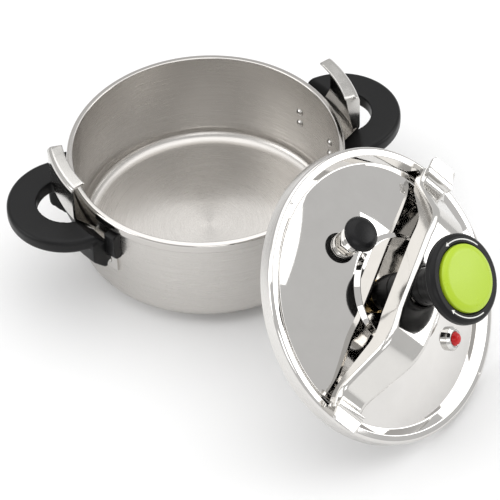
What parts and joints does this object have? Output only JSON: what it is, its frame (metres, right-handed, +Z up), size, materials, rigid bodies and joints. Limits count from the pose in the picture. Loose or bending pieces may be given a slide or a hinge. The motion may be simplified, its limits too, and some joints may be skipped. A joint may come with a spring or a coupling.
{
  "type": "pressure cooker",
  "caption": "Stovetop pressure cooker with a bow clamp: round steel pot, ring handles, hooks, and a separate lid with a screw knob, weight valve and pop-up indicator.",
  "frame": {"origin": "middle of the pot's base, on the surface it stands on", "axes": "+Z up along the pot's axis; +X to the right as the user faces it, -Y towards the user; the lid stands in front and to the right"},
  "size_m": [0.3868, 0.4078, 0.1889],
  "materials": {
    "satin_steel": "satin, concentric brushing",
    "hook_steel": "semi-polished",
    "polished_steel": "polished",
    "mirror_steel": "mirror polished, satin skirt",
    "valve_chrome": "bright chrome",
    "aluminium": "plain",
    "brass": "turned",
    "black_bakelite": "semi-gloss phenolic",
    "lime_plastic": "gloss",
    "red_plastic": "gloss",
    "gasket_rubber": "soft matt silicone"
  },
  "bodies": {
    "pot": {"pot_shell": "satin_steel", "base_core": "aluminium", "base_cap": "satin_steel", "hook_right": "hook_steel", "hook_left": "hook_steel", "hook_rivets": "polished_steel", "handle_right": "black_bakelite", "handle_left": "black_bakelite", "handle_end_pads": "black_bakelite", "handle_studs": "polished_steel", "handle_nuts": "polished_steel"},
    "ball": {"thrust_ball": "polished_steel"},
    "gasket": {"lid_gasket": "gasket_rubber"},
    "lid": {"lid_shell": "mirror_steel", "centre_boss": "mirror_steel", "foot_cover": "black_bakelite", "valve_stem": "valve_chrome", "valve_seal": "gasket_rubber", "valve_nut": "valve_chrome", "valve_strainer": "valve_chrome", "indicator_bezel": "valve_chrome", "indicator_seal": "gasket_rubber", "indicator_nut": "valve_chrome"},
    "bow": {"bow": "mirror_steel", "bow_bush": "brass", "bush_nut": "brass", "bow_collar": "black_bakelite"},
    "knob": {"spindle": "polished_steel", "knob_screw": "polished_steel", "knob_body": "black_bakelite", "knob_cap": "lime_plastic"},
    "needle": {"valve_needle": "polished_steel"},
    "weight": {"weight_sleeve": "valve_chrome", "weight_cap": "black_bakelite"},
    "indicator": {"indicator_pin": "red_plastic", "indicator_clip": "polished_steel"}
  },
  "joints": [
    {"name": "lid_carry", "type": "hinge", "parent": "pot", "child": "ball", "pos_m": [0.07453, -0.09553, 0.1296], "axis": [-0.788, -0.6153, -0.0213], "range_deg": [0, 188.62]},
    {"name": "lid_level", "type": "hinge", "parent": "ball", "child": "gasket", "pos_m": [0.14876, -0.19004, 0.11391], "axis": [0.7965, 0.5921, -0.1223], "range_deg": [0, 139.83]},
    {"name": "lid_twist", "type": "hinge", "parent": "gasket", "child": "lid", "pos_m": [0.1334, -0.179, 0.09882], "axis": [0.6347, -0.456, 0.6239], "range_deg": [-54.78, 0]},
    {"name": "knob_turn", "type": "hinge", "parent": "lid", "child": "knob", "pos_m": [0.14876, -0.19004, 0.11391], "axis": [-0.6347, 0.456, -0.6239], "range_deg": [0, 720]},
    {"name": "bow_lift", "type": "slide", "parent": "lid", "child": "bow", "axis": [0.6347, -0.456, 0.6239], "range_m": [0, 0.008]},
    {"name": "needle_lift", "type": "slide", "parent": "lid", "child": "needle", "axis": [0.4653, -0.3852, 0.7969], "range_m": [0, 0.004]},
    {"name": "weight_spin", "type": "hinge", "parent": "needle", "child": "weight", "pos_m": [0.10586, -0.17116, 0.15152], "axis": [0.4653, -0.3852, 0.7969], "continuous": true},
    {"name": "indicator_rise", "type": "slide", "parent": "lid", "child": "indicator", "axis": [0.7951, -0.4645, 0.39], "range_m": [0, 0.0034]}
  ],
  "couplings": [
    {"joint": "lid_level", "follows": "lid_carry", "ratio": 0.74132},
    {"joint": "knob_turn", "follows": "bow_lift", "rad_per_m": 1570.8}
  ]
}
